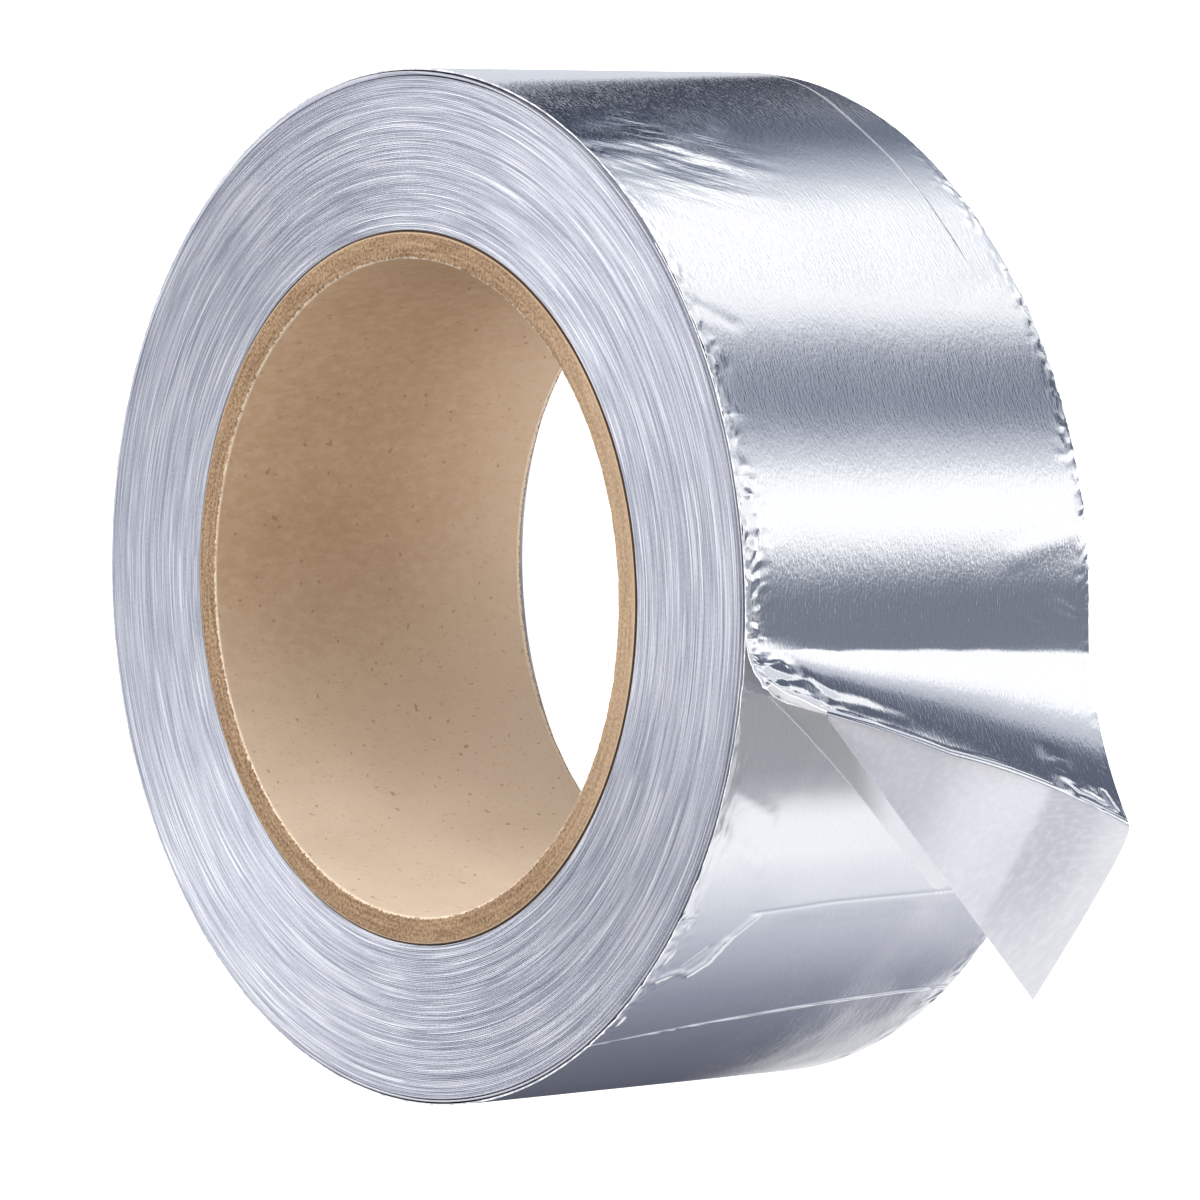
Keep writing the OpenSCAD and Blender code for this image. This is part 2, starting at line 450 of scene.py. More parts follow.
def edge_columns():
    """Heights across the tape, close together near both edges."""
    fine = [0.0, 0.2, 0.42, 0.66, 0.92, 1.2, 1.52, 1.9, 2.3, 2.8, 3.4, 4.1]
    coarse = [mix(Z_LOW + 5.0, 11.0, k / 24) for k in range(25)]
    close = [mix(11.5, Z_HIGH - 4.6, k / 18) for k in range(19)]
    return [Z_LOW + f for f in fine] + coarse + close + [Z_HIGH - f for f in reversed(fine)]


def row_step(degrees):
    """Degrees to the last turn's next row: small beside the folds and coarse where the roll is hidden."""
    if degrees > 362 or 112 < degrees < 262:
        return 2.0
    if 302.6 < degrees < 304.4:
        return 0.10
    if 300 < degrees < 307 or 320.6 < degrees < 322.2:
        return 0.18
    if 307 < degrees < 323:
        return 0.30
    return 0.38 if degrees < 68 else 0.9


def make_last_turn(foil, cut):
    """The outermost turn of foil, once round the roll, and its lifted end."""
    heights = edge_columns()
    places = []
    degrees = LAP_START
    while degrees > -5.0:
        places.append(math.radians(degrees))
        degrees -= row_step(degrees)
    lift_rows = 100
    laps = len(places)

    def length_at(i, j):
        if i < laps:
            turn = math.degrees(places[i])
            beside_fold = step(284, 300, turn) * step(323, 307, turn)
            return (LIFT - places[i]) * ROLL_R + beside_fold * (fold_line(heights[j]) - fold_line(0))
        return foil_len(heights[j]) * (1 - (1 - (i - laps) / (lift_rows - 1)) ** LIFT_CROWDING)

    def place(i, j):
        s, z = length_at(i, j), heights[j]
        point = strip_point(s, z) + strip_normal(s, z) * foil_relief(s, z)
        point.z = min(point.z, HALF_W)
        return point

    def flat(i, j):
        return length_at(i, j), heights[j]

    count = len(heights)
    piece = grid_piece("foil_turn", laps + lift_rows, count, place, flat)
    piece.data.materials.append(foil)
    piece.data.materials.append(cut)
    # The lifted end is one sheet thick and the lap below it two
    group = piece.vertex_groups.new(name="depth")
    for v in piece.data.vertices:
        i = v.index // count
        s = length_at(i, v.index % count)
        group.add([v.index], 1.0 if s < -3 else mix(0.5, 1.0, clamp(-s / 3)), "REPLACE")
    thicken(piece, TURN_T, "depth")
    shade(piece, 40)
    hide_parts("foil_roll")
    return piece


def make_wound_turns():
    """The wound turns below, with every turn's edge a ridge on both ends."""
    pitch = (WOUND_R - CORE_R - WOUND_SLACK) / TURNS
    near = []
    for k in range(TURNS):
        r = CORE_R + WOUND_SLACK + k * pitch
        level = 0.05 * rough(k * 0.35, 0.5) + 0.035 * rough(k * 2.7, 4.5)
        depth = 0.07 + 0.06 * abs(rough(k * 1.9, 8.5))
        near.append((r, HALF_W - 0.09 + level - depth))
        near.append((r + pitch * 0.55, HALF_W - 0.09 + level))
    near.append((WOUND_R, HALF_W - 0.25))
    outline = near + [(r, -z) for r, z in reversed(near)]
    piece = spun_piece("wound_turns", outline, 200)

    def move(theta, r, z):
        x, y = r * math.cos(theta), r * math.sin(theta)
        wave = 0.05 * rough(x * 0.06, y * 0.06, r * 0.9) + 0.02 * rough(x * 0.2, y * 0.2, r * 3.0)
        return r, z + math.copysign(min(wave, 0.03), z)

    reshape(piece, move)
    shade(piece, 60)
    return piece


def make_second_turn():
    """The turn below the outermost one, with a thin gap on both sides that closes on the roll's left."""
    top = HALF_W - 0.12
    rings = [(0.0, top - 0.03), (0.06, top), (0.16, top), (0.2, top - 0.03)]
    outline = [(WOUND_R + 0.17 + d, z) for d, z in rings]
    outline += [(r, -z) for r, z in reversed(outline)]
    piece = spun_piece("second_turn", outline, 240)

    def move(theta, r, z):
        x, y = math.cos(theta), math.sin(theta)
        turn = theta % (2 * math.pi)
        tight = step(math.radians(70), math.radians(105), turn)
        tight *= step(math.radians(262), math.radians(235), turn)
        filled = WOUND_R + 0.02 if r < WOUND_R + 0.27 else turn_radius(turn) - TURN_T - 0.03
        loose = r + 0.12 * math.cos(theta - LOOSE_DIR) + 0.03 * rough(x * 4, y * 4, 1.5)
        return mix(loose, filled, tight), z + math.copysign(0.04 * rough(x * 6, y * 6, 5.5) - 0.03, z)

    reshape(piece, move)
    shade(piece, 50)
    return piece


def make_core():
    """The board tube, with a slightly torn inner edge at each end."""
    low, high = CORE_RECESS - HALF_W, HALF_W
    inner = [(BORE_R, mix(low + 1.4, high - 0.55, k / 10)) for k in range(11)]
    near_edge = [(BORE_R + 0.02, high - 0.3), (BORE_R + 0.1, high - 0.12), (BORE_R + 0.26, high - 0.03)]
    near_edge += [(mix(BORE_R + 0.5, CORE_R - 0.35, k / 5), high) for k in range(6)]
    near_edge += [(CORE_R - 0.16, high - 0.03), (CORE_R - 0.05, high - 0.12), (CORE_R - 0.02, high - 0.4)]
    far_edge = [(CORE_R - 0.02, low + 0.4), (CORE_R - 0.1, low + 0.1), (CORE_R - 0.3, low)]
    far_edge += [(mix(CORE_R - 0.7, BORE_R + 1.1, k / 3), low) for k in range(4)]
    far_edge += [(BORE_R + 0.75, low + 0.08), (BORE_R + 0.42, low + 0.35), (BORE_R + 0.15, low + 0.8)]
    piece = spun_piece("core_tube", inner + near_edge + far_edge, 288)

    def move(theta, r, z):
        x, y = math.cos(theta), math.sin(theta)
        at_end = max(step(high - 0.8, high - 0.1, z), step(low + 1.0, low + 0.2, z))
        torn = step(0.9, 0.0, r - BORE_R) * at_end
        fray = 0.10 * rough(x * 60, y * 60, 2.5) + 0.06 * rough(x * 140, y * 140, 3.5)
        board = 0.04 * rough(x * 40, y * 40, r * 2.0) * step(high - 0.2, high, z)
        return r + max(torn * fray, BORE_R - r), z - abs(torn * fray) * 0.8 - abs(board)

    reshape(piece, move)
    shade(piece, 45)
    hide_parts("core")
    return piece


# The flap's far corner, on the tape's hidden edge, and the near end of its slanted cut
FLAP_START = strip_point(foil_len(Z_LOW), Z_LOW)
CORNER_TURN = math.atan(FLAP_LEN / (ROLL_R + FLAP_STAND_OFF))
CORNER_DIR = math.atan2(FLAP_START.y, FLAP_START.x) - CORNER_TURN
FLAP_CORNER = (ROLL_R + FLAP_STAND_OFF) * ray(CORNER_DIR) + Vector((0, 0, Z_LOW))
SLANT_S = foil_len(SLANT_Z)
NEAR_TIP = strip_point(SLANT_S, SLANT_Z) + strip_normal(SLANT_S, SLANT_Z) * tail_bend(SLANT_S, SLANT_Z)
SLANT = (FLAP_CORNER - NEAR_TIP).normalized()


def liner_len(z):
    """Length of the liner under the lifted foil, which hides its near corner."""
    return foil_len(z) - 0.45 * step(SLANT_Z + 1.5, SLANT_Z + 4.5, z)


def flap_point(w, z, depth):
    """A curve from the foil's cut, round the fold and down to the flap's end."""
    s = liner_len(z)
    start = strip_point(s, z) - strip_normal(s, z) * depth
    if z > SLANT_Z:
        past = mix(0.1, FLAP_NEAR_LEN, step(SLANT_Z + 4, SLANT_Z, z))
        return start + (cone_point(s, z) - cone_point(s - 1, z)).normalized() * past * w
    end = (NEAR_TIP + SLANT * FLAP_NEAR_LEN).lerp(FLAP_CORNER, (SLANT_Z - z) / (SLANT_Z - Z_LOW))
    reach = min(FOLD_REACH, (end - start).length / 3)
    run = (cone_point(s, z) - cone_point(s - FOLD_REACH, z)).normalized()
    bend = start + run * reach
    return start * (1 - w) ** 2 + bend * (2 * w * (1 - w)) + end * w ** 2


def make_liner(paper, rim, back):
    """The release liner under the lifted foil, and its flap past the foil's cut."""
    cols = 61
    lift_rows, flap_rows = 48, 44
    heights = [mix(Z_LOW, Z_HIGH, j / (cols - 1)) for j in range(cols)]

    def down_flap(i):
        return ((i - lift_rows + 1) / flap_rows) ** FLAP_CROWDING

    def flat(i, j):
        z = heights[j]
        s = liner_len(z)
        if i < lift_rows:
            return s * i / (lift_rows - 1), z
        return s + (flap_point(1, z, FOIL_T) - flap_point(0, z, FOIL_T)).length * down_flap(i), z

    def place(i, j):
        z = heights[j]
        if i < lift_rows:
            s = liner_len(z) * i / (lift_rows - 1)
            normal = strip_normal(s, z)
            return strip_point(s, z) + normal * (liner_relief(s, z) - FOIL_T)
        w = down_flap(i)
        start = liner_relief(liner_len(z), z)
        base = flap_point(w, z, FOIL_T) + strip_normal(liner_len(z), z) * start * (1 - w) ** 2
        belly = FLAP_BELLY * math.sin(math.pi * w) * math.sin(math.pi * (Z_HIGH - z) / TAPE_W)
        return base - BELLY_DIR * belly

    piece = grid_piece("liner_sheet", lift_rows + flap_rows, cols, place, flat)
    for material in (paper, rim, back):
        piece.data.materials.append(material)
    thicken(piece, FOIL_T, back=2)
    shade(piece, 50)
    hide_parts("liner_end")
    return piece


# Shader nodes as expressions

WHITE = (1.0, 1.0, 1.0, 1.0)
THROUGH_PAPER = (0.90, 0.88, 0.82, 1.0)


class Wire:
    """A node's output socket, which takes part in sums."""

    def __init__(self, paint, socket):
        self.paint = paint
        self.socket = socket

    def _sum(self, operation, a, b):
        return self.paint.node("Math", {0: a, 1: b}, operation=operation)

    def __add__(self, other):
        return self._sum("ADD", self, other)

    __radd__ = __add__

    def __sub__(self, other):
        return self._sum("SUBTRACT", self, other)

    def __rsub__(self, other):
        return self._sum("SUBTRACT", other, self)

    def __mul__(self, other):
        return self._sum("MULTIPLY", self, other)

    __rmul__ = __mul__

    def __truediv__(self, other):
        return self._sum("DIVIDE", self, other)

    def __pow__(self, other):
        return self._sum("POWER", self, other)

    def rise(self, low, high):
        """0 below low, 1 above high, and smooth between."""
        sockets = {"Value": self, "From Min": low, "From Max": high, "To Min": 0.0, "To Max": 1.0}
        return self.paint.node("MapRange", sockets, interpolation_type="SMOOTHSTEP")


class Paint:
    """The node tree of a material or of the world."""

    def __init__(self, tree):
        self.tree = tree
        tree.nodes.clear()

    def node(self, kind, sockets=None, out=0, stops=None, **settings):
        """Adds a node, links or sets its sockets, and gives the output that is asked for."""
        node = self.tree.nodes.new("ShaderNode" + kind)
        for name, value in settings.items():
            setattr(node, name, value)
        if stops:
            band = node.color_ramp.elements
            band.remove(band[1])
            band[0].position, band[0].color = stops[0]
            for place, colour in stops[1:]:
                band.new(place).color = colour
        for key, value in (sockets or {}).items():
            if isinstance(value, Wire):
                self.tree.links.new(value.socket, node.inputs[key])
            else:
                node.inputs[key].default_value = value
        return Wire(self, node.outputs[out]) if node.outputs else None

    def split(self, vector):
        """The three numbers of a vector."""
        node = self.tree.nodes.new("ShaderNodeSeparateXYZ")
        self.tree.links.new(vector.socket, node.inputs[0])
        return [Wire(self, out) for out in node.outputs]

    def join(self, x, y, z):
        return self.node("CombineXYZ", {0: x, 1: y, 2: z})

    def noise(self, vector, scale, detail=2.0, roughness=0.5):
        sockets = {"Vector": vector, "Scale": scale, "Detail": detail, "Roughness": roughness}
        return self.node("TexNoise", sockets)

    def blend(self, factor, a, b):
        """A mix of two colours."""
        return self.node("Mix", {0: factor, 6: a, 7: b}, out=2, data_type="RGBA", clamp_factor=True)

    def bump(self, height, strength, distance):
        return self.node("Bump", {"Height": height, "Strength": strength, "Distance": distance})


def srgb(r, g, b):
    """A display colour, 0 to 255, as scene light."""
    def light(c):
        c /= 255
        return c / 12.92 if c <= 0.04045 else ((c + 0.055) / 1.055) ** 2.4
    return (light(r), light(g), light(b), 1.0)


def new_material(name):
    material = bpy.data.materials.new(name)
    material.use_nodes = True
    return material, Paint(material.node_tree)


def finish_material(paint, sockets):
    surface = paint.node("BsdfPrincipled", sockets)
    paint.node("OutputMaterial", {"Surface": surface})


def finish_paper(paint, sockets, through_share):
    """Thin paper: part of the light goes through it."""
    paper = paint.node("BsdfPrincipled", sockets)
    through = paint.node("BsdfTranslucent", {"Color": THROUGH_PAPER})
    both = paint.node("MixShader", {0: through_share, 1: paper, 2: through})
    paint.node("OutputMaterial", {"Surface": both})


def foil_material():
    """Rolled aluminium foil: short bright streaks along the tape, and a faint grain."""
    material, p = new_material("rolled_foil")
    uv = p.node("TexCoord", out=2)
    along, over, _ = p.split(uv)
    streak = p.noise(p.join(along * 620.0, over * 3400.0, 0.0), 1.0, 2.0, 0.6)
    dash = p.noise(p.join(along * 1500.0, over * 5200.0, 3.0), 1.0, 1.0, 0.5)
    grain = p.noise(p.join(along * 2300.0, over * 3400.0, 5.0), 1.0, 2.0, 0.6)
    cloud = p.noise(p.join(along * 45.0, over * 60.0, 9.0), 1.0, 3.0, 0.6)
    tone = (streak - 0.5) * 0.10 + (dash - 0.5) * 0.08 + (cloud - 0.5) * 0.04 + 0.5
    colour = p.blend(tone.rise(0.38, 0.62), srgb(226, 229, 234), srgb(246, 247, 249))
    # A thin line along the tape near its hidden edge
    path_z = -0.0189 - (1 - along.rise(-0.088, -0.062)) * 0.0042
    off = (over - path_z + (cloud - 0.5) * 0.0006) * 1000.0
    part = along.rise(-0.092, -0.086) * (1 - along.rise(-0.046, -0.040))
    line = (1 - (off * off).rise(0.0, 0.04)) * part * (0.3 + dash * 1.4)
    upper = 0.07 + along.rise(-0.34, -0.22) * 0.93 - along.rise(-0.004, 0.004) * 0.4
    # Finer wrinkles within the patch high on the roll
    patch_s, patch_z = (along + 0.062) * 1000.0, (over - 0.013) * 1000.0
    patch = 1 - (patch_s * patch_s + patch_z * patch_z).rise(20.0, 190.0)
    slant = p.join((along * 0.42 - over * 0.91) * 170.0, (along * 0.91 + over * 0.42) * 900.0, 6.0)
    wrinkle = p.noise(slant, 1.0, 3.0, 0.6)
    height = (streak * 1.8 + dash * 0.8 + grain * 0.8) * upper + line * 6.0 + wrinkle * patch * 9.0
    rough_value = 0.055 + upper * 0.02 + (streak - 0.5) * 0.07 + (cloud - 0.5) * 0.04
    finish_material(p, {
        "Base Color": colour,
        "Metallic": 1.0,
        "Roughness": rough_value,
        "Normal": p.bump(height, 0.5, 0.00003),
    })
    return material


def cut_material():
    """The bright cut edge of the foil."""
    material, p = new_material("foil_cut")
    place = p.node("TexCoord", out=3)
    tone = p.noise(place, 900.0, 2.0, 0.6)
    finish_material(p, {
        "Base Color": p.blend(tone.rise(0.35, 0.6), srgb(196, 199, 208), srgb(250, 250, 252)),
        "Metallic": 0.2,
        "Roughness": 0.45,
    })
    return material


def wound_material():
    """The edges of the turns: concentric hairlines of foil and liner."""
    material, p = new_material("turn_edges")
    place = p.node("TexCoord", out=3)
    x, y, _ = p.split(place)
    radius = (x * x + y * y) ** 0.5
    cos_t, sin_t = x / radius, y / radius

    def rings(fineness, breaks, x_shift, y_shift, detail=1.0):
        """Noise that changes fast outwards and slowly round the axis."""
        at = p.join(radius * fineness, cos_t * breaks + x_shift, sin_t * breaks + y_shift)
        return p.noise(at, 1.0, detail, 0.5)

    fine = rings(6000.0, 2.4, 3.7, 8.3)
    hair = rings(9200.0, 3.4, 5.3, 2.6)
    drift = rings(300.0, 2.0, 0.0, 0.0, 2.0)
    dash = rings(8000.0, 8.0, 1.7, 4.4)
    grit = p.noise(p.join(x * 2600.0, y * 2600.0, 4.0), 1.0, 1.0, 0.5)
    tone = (fine - 0.5) * 0.34 + (hair - 0.5) * 0.85 + (drift - 0.5) * 0.06
    tone = tone + (dash - 0.5) * 0.5 + (grit - 0.5) * 0.2 + 0.5
    colour = p.blend(tone.rise(0.22, 0.78), srgb(142, 146, 160), srgb(208, 210, 218))
    bright = rings(9000.0, 3.2, 7.1, 1.3, 0.0)
    colour = p.blend(bright.rise(0.64, 0.70) * 0.7, colour, srgb(238, 239, 243))
    # Painted shade: the face is a little darker on its far left
    left = (1 - x.rise(-0.060, -0.030)) * y.rise(-0.032, -0.008)
    colour = p.blend(left * 0.2, colour, srgb(118, 124, 140))
    height = fine * 0.5 + hair * 0.5 + dash * 0.25
    finish_material(p, {
        "Base Color": colour,
        "Metallic": 0.2,
        "Roughness": 0.45 + (fine - 0.5) * 0.2,
        "Normal": p.bump(height, 0.3, 0.00010),
    })
    return material


def core_material():
    """Kraft board: smooth tan paper inside, brown fibrous board on the cut ends."""
    material, p = new_material("kraft_board")
    place = p.node("TexCoord", out=3)
    x, y, z = p.split(place)
    radius = (x * x + y * y) ** 0.5
    cloud = p.noise(place, 90.0, 4.0, 0.6)
    fibre = p.noise(p.join(x * 900.0, y * 900.0, z * 500.0), 1.0, 3.0, 0.65)
    speck = p.noise(place, 1150.0, 1.0, 0.4)
    shaded_kraft = p.blend(cloud.rise(0.2, 0.8), srgb(171, 141, 110), srgb(179, 150, 119))
    pale = p.blend(cloud.rise(0.2, 0.8), srgb(194, 176, 155), srgb(202, 185, 165))
    # Painted light: a shaded and a lit copy of the paper, so the bore is paler towards -Y, at the bottom
    # in the camera's view, and towards its hidden end
    paper = p.blend(1 - y.rise(-0.034, 0.012), shaded_kraft, pale)
    paper = p.blend((1 - z.rise(-0.020, 0.004)) * 0.35, paper, srgb(214, 194, 170))
    paper = p.blend(fibre.rise(0.35, 0.75) * 0.28, paper, srgb(206, 184, 159))
    flake = p.noise(p.join(x * 2600.0, y * 2600.0, z * 1300.0), 1.0, 2.0, 0.6)
    paper = p.blend((1 - flake.rise(0.24, 0.42)) * 0.35, paper, srgb(150, 118, 87))
    paper = p.blend(speck.rise(0.70, 0.78) * 0.55, paper, srgb(128, 96, 66))
    # The cut board: dark round its outside, with a pale ragged lip round the bore
    ply = p.noise(p.join(radius * 2600.0, x * 160.0, y * 160.0), 1.0, 3.0, 0.6)
    pulp = p.noise(place, 2400.0, 3.0, 0.7)
    board_tone = (ply - 0.5) * 0.6 + (pulp - 0.5) * 1.1 + 0.5
    board = p.blend(board_tone.rise(0.15, 0.85), srgb(96, 70, 46), srgb(178, 150, 120))
    # Painted light: the cut board is lighter towards +X
    board = p.blend(x.rise(0.018, 0.040) * 0.24, board, srgb(222, 196, 166))
    rim = radius.rise((CORE_R - 0.42) * MM, (CORE_R - 0.22) * MM)
    board = p.blend(rim * 0.6, board, srgb(206, 186, 158))
    board = p.blend(radius.rise((CORE_R - 0.24) * MM, (CORE_R - 0.14) * MM), board, srgb(70, 48, 31))
    lip = 1 - (radius - (pulp - 0.5) * 0.0008).rise((BORE_R + 0.10) * MM, (BORE_R + 0.32) * MM)
    board = p.blend(lip * 0.75, board, srgb(232, 215, 192))
    cut_high = z.rise((HALF_W - 0.42) * MM, (HALF_W - 0.15) * MM)
    low = CORE_RECESS - HALF_W
    cut_low = 1 - z.rise((low + 1.15) * MM, (low + 1.4) * MM)
    cut = cut_high + cut_low
    colour = p.blend(cut, paper, board)
    height = fibre * 0.35 + speck * 0.15 + cut * (pulp * 1.6 + ply * 0.8)
    finish_material(p, {
        "Base Color": colour,
        "Roughness": 0.82 - (cloud - 0.5) * 0.1,
        "Normal": p.bump(height, 0.5, 0.00010),
    })
    return material


def liner_material():
    """Coated release paper, smooth and pale blue-grey, with painted sheen and painted shade on its flap.
    """
    material, p = new_material("release_liner")
    uv = p.node("TexCoord", out=2)
    along, over, _ = p.split(uv)
    mottle = p.noise(p.join(along * 160.0, over * 160.0, 0.0), 1.0, 3.0, 0.6)
    grain = p.noise(p.join(along * 1800.0, over * 1800.0, 2.0), 1.0, 2.0, 0.5)
    fleck = p.noise(p.join(along * 1100.0, over * 1100.0, 4.0), 1.0, 3.0, 0.6)
    colour = p.blend(mottle.rise(0.3, 0.7), srgb(188, 191, 203), srgb(195, 198, 209))
    past_cut = along + over * 0.30 - 0.0163
    # Painted light: a pale painted sheen that runs down from the cut, and a greyer band of painted shade
    # beside it
    aside = over + 0.0125 - past_cut * 0.6
    sheen = (1 - (aside * aside * 1000000.0).rise(2.0, 70.0)) * past_cut.rise(-0.001, 0.006)
    colour = p.blend(sheen * 0.8, colour, srgb(201, 204, 215))
    band = (1 - (over - past_cut * 0.04).rise(-0.0152, -0.0136)) * over.rise(-0.0245, -0.0185)
    colour = p.blend(band * (1 - past_cut.rise(0.014, 0.026)) * 0.9, colour, srgb(150, 156, 176))
    # Painted shade on the flap next to the foil's cut, towards its near edge
    shade = (1 - past_cut.rise(-0.001, 0.0075)) * over.rise(-0.014, -0.005)
    colour = p.blend(shade * 0.75, colour, srgb(184, 181, 190))
    colour = p.blend(fleck.rise(0.42, 0.66) * 0.25, colour, srgb(230, 232, 240))
    finish_paper(p, {
        "Base Color": colour,
        "Roughness": 0.38 + (mottle - 0.5) * 0.1,
        "Normal": p.bump(grain, 0.12, 0.00002),
    }, 0.34)
    return material


def liner_rim_material():
    """The liner's white cut edge, with a painted glow from emission."""
    material, p = new_material("liner_cut_painted_glow")
    finish_material(p, {
        "Base Color": srgb(250, 250, 252),
        "Roughness": 0.6,
        # Painted light: the edge glows so that it stays white
        "Emission Color": WHITE,
        "Emission Strength": 0.35,
    })
    return material


def liner_back_material():
    """The liner's back, with a painted glow from emission that stands in for light coming through it,
    stronger towards its hidden edge.
    """
    material, p = new_material("liner_back_painted_glow")
    _, over, _ = p.split(p.node("TexCoord", out=2))
    # Painted light: the glow is bright towards the hidden edge and faint towards the near edge
    glow = p.blend(over.rise(-0.008, 0.003), (1.22, 1.23, 1.27, 1.0), (0.09, 0.093, 0.115, 1.0))
    finish_paper(p, {
        "Base Color": srgb(226, 227, 229),
        "Roughness": 0.45,
        "Emission Color": glow,
        "Emission Strength": 0.6,
    }, 0.42)
    return material


# Light, floor and camera

KEY_PLACE = (-0.15, 0.85, 0.75)
FILL_PLACE = (0.75, -0.35, 0.8)
FLOOR_DROP = 0.00002
CAMERA_PLACE = (643.44, 0, 518.97)
CAMERA_LENS = 210

# The studio's pale panels and dark gaps round the roll, by compass angle in degrees from +X
PANELS = [
    (-180, (92, 95, 107), 1.0), (-163, (92, 95, 107), 1.0), (-149, (102, 105, 117), 1.0),
    (-133, (114, 118, 131), 1.0), (-121, (129, 132, 146), 1.0), (-108, (150, 153, 167), 1.0),
    (-92, (192, 194, 205), 1.0), (-78, (228, 230, 236), 1.0), (-66, (251, 251, 253), 1.08),
    (-57, (251, 251, 252), 1.08), (-53.5, (236, 237, 240), 1.0), (-50, (188, 188, 193), 1.0),
    (-45, (170, 170, 175), 1.0), (-25, (166, 166, 170), 1.0), (-12, (126, 132, 145), 1.0),
    (-3, (130, 137, 149), 1.0), (3, (186, 190, 200), 1.0), (9, (252, 252, 252), 1.2),
    (19, (252, 252, 252), 1.2), (25, (234, 236, 242), 1.0), (31, (178, 183, 194), 1.0),
    (38, (158, 164, 177), 1.0), (46, (176, 181, 193), 1.0), (55, (222, 225, 232), 1.0),
    (63, (252, 252, 253), 1.15), (71, (252, 252, 253), 1.35), (88, (252, 252, 252), 1.35),
    (95, (226, 230, 237), 1.0), (105, (168, 174, 188), 1.0), (113, (110, 118, 134), 1.0),
    (122, (74, 81, 96), 1.0), (150.5, (56, 60, 75), 1.0),
]

# The same below the roll, where the lifted end looks
LOW_PANELS = [
    (-180, (252, 252, 253), 1.0), (-100, (250, 250, 252), 1.0), (-75, (242, 243, 247), 1.0),
    (-57, (240, 240, 243), 1.0), (-40, (184, 184, 187), 1.0), (-12, (118, 125, 138), 1.0),
    (-4, (124, 130, 143), 1.0), (-1, (158, 163, 174), 1.0), (2, (252, 252, 252), 1.3),
    (22.5, (252, 252, 252), 1.3), (25, (218, 221, 229), 1.0), (31.5, (200, 204, 214), 1.0),
    (35, (116, 122, 138), 1.0), (39, (102, 108, 124), 1.0), (51, (97, 103, 119), 1.0),
    (55, (130, 136, 150), 1.0), (59, (226, 229, 235), 1.0), (62, (252, 252, 252), 1.2),
    (67, (250, 250, 251), 1.1), (73, (224, 227, 234), 1.0), (88, (232, 235, 241), 1.0),
    (100, (214, 217, 226), 1.0), (110, (178, 183, 197), 1.0), (117, (118, 124, 140), 1.0),
    (127, (112, 118, 134), 1.0), (136, (206, 209, 217), 1.0), (158, (216, 218, 226), 1.0),
    (175, (236, 237, 241), 1.0),
]

# Where the dark gap above the roll ends, as a share of a turn, and the pale panel past it
PALE_FROM = 0.929
PALE = (223, 226, 234)

# The studio higher up: pale behind the foil's crumpled edges, and dimmer overhead
HIGH_PANEL = (0.95, 0.955, 0.97, 1.0)
CEILING = (0.50, 0.51, 0.55, 1.0)

# The soft light on paper and board: its darker and lighter sides, and a bright lobe at one side
SOFT_DARK = (0.30, 0.305, 0.32, 1.0)
SOFT_LIGHT = (0.44, 0.445, 0.46, 1.0)
SIDE_LOBE = (3.0, 3.03, 3.12, 1.0)


def panel_ramp(paint, turn, panels):
    stops = []
    for degrees, (r, g, b), gain in panels:
        colour = srgb(r, g, b)
        stops.append((degrees / 360 + 0.5, (colour[0] * gain, colour[1] * gain, colour[2] * gain, 1.0)))
    return paint.node("ValToRGB", {0: turn}, stops=stops)


def light_world():
    world = bpy.data.worlds.new("studio")
    bpy.context.scene.world = world
    world.use_nodes = True
    p = Paint(world.node_tree)
    x, y, z = p.split(p.node("TexCoord", out=0))
    turn = p.node("Math", {0: y, 1: x}, operation="ARCTAN2") / (2 * math.pi) + 0.5
    # The dark gap above slants, and the pale panels below reach higher at the roll's lower right
    slant = (z + 0.635) * 1.5 * (1 - x.rise(-0.5, -0.2)) * y.rise(-0.05, 0.1)
    slant += (z.rise(-0.69, -0.645) - 0.5) * 0.009 * x.rise(0.66, 0.74)
    low = 1 - z.rise(-0.705, -0.65)
    low += (1 - (z + turn * 0.138).rise(-0.6475, -0.629)) * (1 - turn.rise(0.17, 0.21))
    pale = (turn + slant).rise(PALE_FROM - 0.009, PALE_FROM + 0.005)
    above = p.blend(pale, panel_ramp(p, turn + slant, PANELS), srgb(*PALE))
    panels = p.blend(low, above, panel_ramp(p, turn, LOW_PANELS))
    high = z.rise(-0.55, -0.42) * 0.5 - z.rise(-0.38, -0.22) * 0.28
    panels = p.blend(high, panels, HIGH_PANEL)
    panels = p.blend(z.rise(-0.1, 0.35), panels, CEILING)
    soft = p.blend(y.rise(-0.8, 0.9), SOFT_DARK, SOFT_LIGHT)
    side = (x * 0.8 - y * 0.6).rise(0.35, 0.95) * (1 - z.rise(0.1, 0.5))
    soft = p.blend(side, soft, SIDE_LOBE)
    # Reflections see the panels, the camera sees plain white, and all else gets the soft light
    glossy = p.node("LightPath", out=3)
    camera = p.node("LightPath", out=0)
    colour = p.blend(glossy, soft, panels)
    colour = p.blend(camera, colour, WHITE)
    background = p.node("Background", {"Color": colour, "Strength": 1.0})
    p.node("OutputWorld", {"Surface": background})


def area_light(name, place, size, energy, colour=(1, 1, 1)):
    """A round lamp that looks at the roll."""
    data = bpy.data.lights.new(name, "AREA")
    data.shape = "DISK"
    data.size = size
    data.energy = energy
    data.color = colour
    lamp = bpy.data.objects.new(name, data)
    bpy.context.scene.collection.objects.link(lamp)
    lamp.location = place
    lamp.rotation_euler = (-Vector(place)).to_track_quat("-Z", "Y").to_euler()
    lamp.visible_camera = False
    return lamp


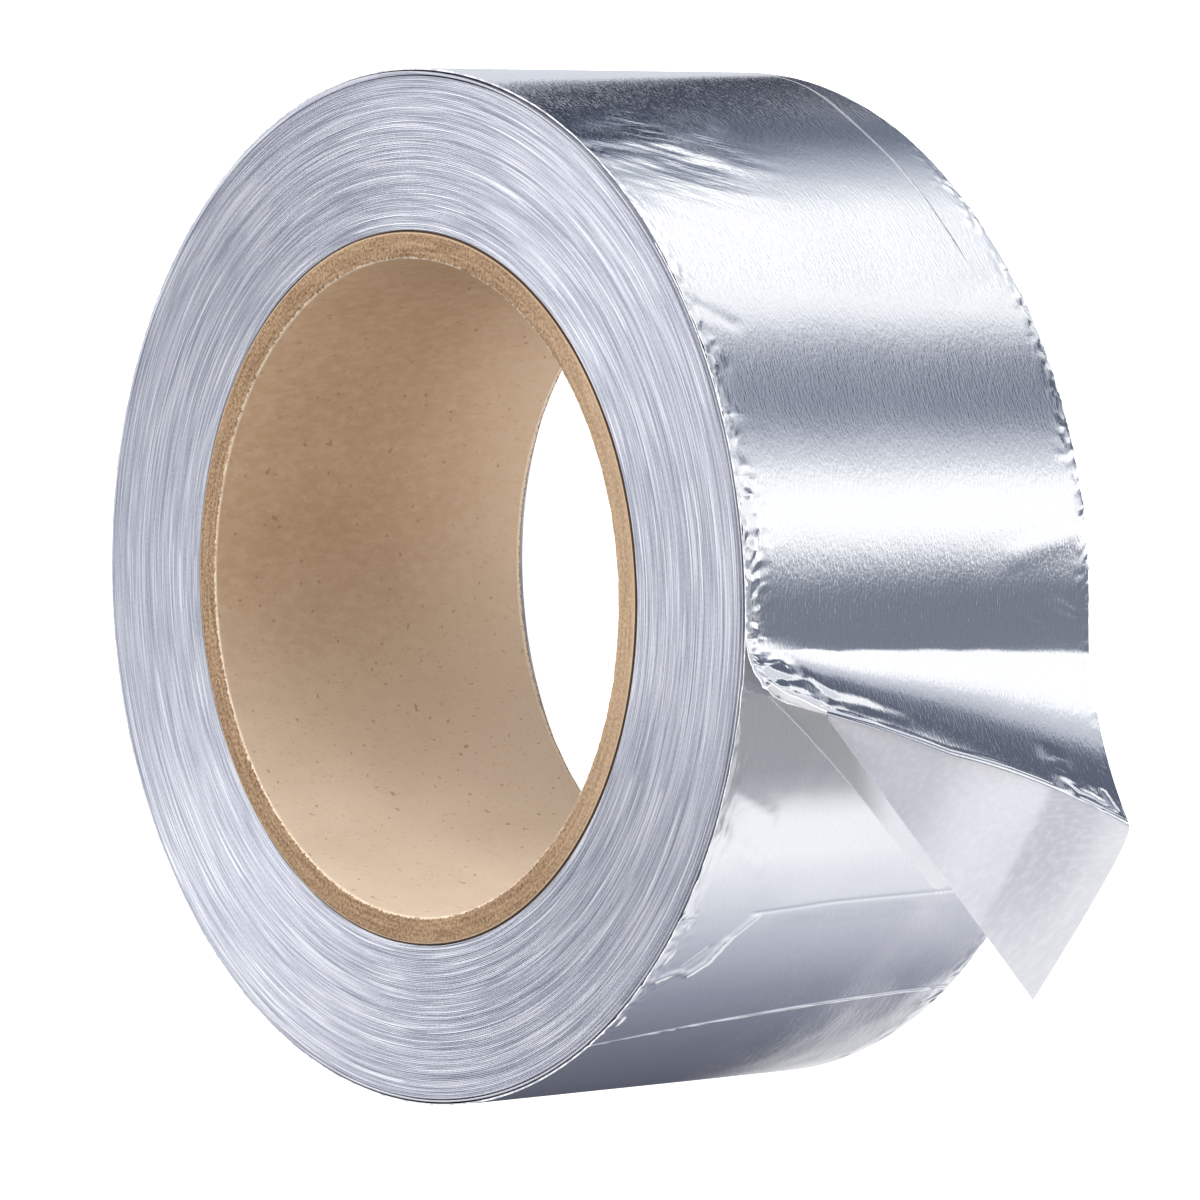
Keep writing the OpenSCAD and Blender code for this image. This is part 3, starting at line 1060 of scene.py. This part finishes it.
def make_floor():
    """A plain pale floor just below the roll, which the foil doesn't mirror."""
    deselect_all()
    level = -HALF_W * MM - FLOOR_DROP
    bpy.ops.mesh.primitive_grid_add(x_subdivisions=2, y_subdivisions=2, size=12, location=(0, 0, level))
    floor = bpy.context.active_object
    floor.name = "floor"
    material, p = new_material("pale_floor")
    pale = p.node("BsdfDiffuse", {"Color": (0.9, 0.9, 0.9, 1.0)})
    glow = p.node("Emission", {"Color": WHITE, "Strength": 0.86})
    both = p.node("AddShader", {0: pale, 1: glow})
    p.node("OutputMaterial", {"Surface": both})
    floor.data.materials.append(material)
    floor.visible_glossy = False
    floor.visible_diffuse = False


def make_camera():
    """A long lens at the photo's angle: down on the roll, with its hidden end on the floor."""
    across = Vector((0.62976, -0.04557, -0.77545))
    ahead = Vector((-0.77634, -0.00289, -0.63031))
    up = across.cross(ahead).normalized()
    across = ahead.cross(up).normalized()
    data = bpy.data.cameras.new("view")
    data.lens = CAMERA_LENS
    data.sensor_width = 36
    data.clip_start = 0.05
    data.clip_end = 30
    camera = bpy.data.objects.new("view", data)
    bpy.context.scene.collection.objects.link(camera)
    turn = Matrix((across, up, -ahead.normalized())).transposed()
    camera.matrix_world = Matrix.Translation(Vector(CAMERA_PLACE) * MM) @ turn.to_4x4()
    bpy.context.scene.camera = camera


make_camera()
bpy.context.scene.view_settings.view_transform = "Standard"

foil = foil_material()
cut = cut_material()
edges = wound_material()
board = core_material()
liner = liner_material()

for piece, material, slot in (
    (make_last_turn(foil, cut), None, "foil"),
    (make_wound_turns(), edges, "foil"),
    (make_second_turn(), edges, "foil"),
    (make_core(), board, "core_board"),
    (make_liner(liner, liner_rim_material(), liner_back_material()), None, "liner"),
):
    if material:
        piece.data.materials.clear()
        piece.data.materials.append(material)
    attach(piece, "root")

make_floor()
light_world()
key = area_light("key", KEY_PLACE, 0.9, 19.0, (1.0, 0.99, 0.99))
key.visible_glossy = False
area_light("sheen", KEY_PLACE, 0.9, 3.5)
area_light("fill", FILL_PLACE, 0.7, 2.0)
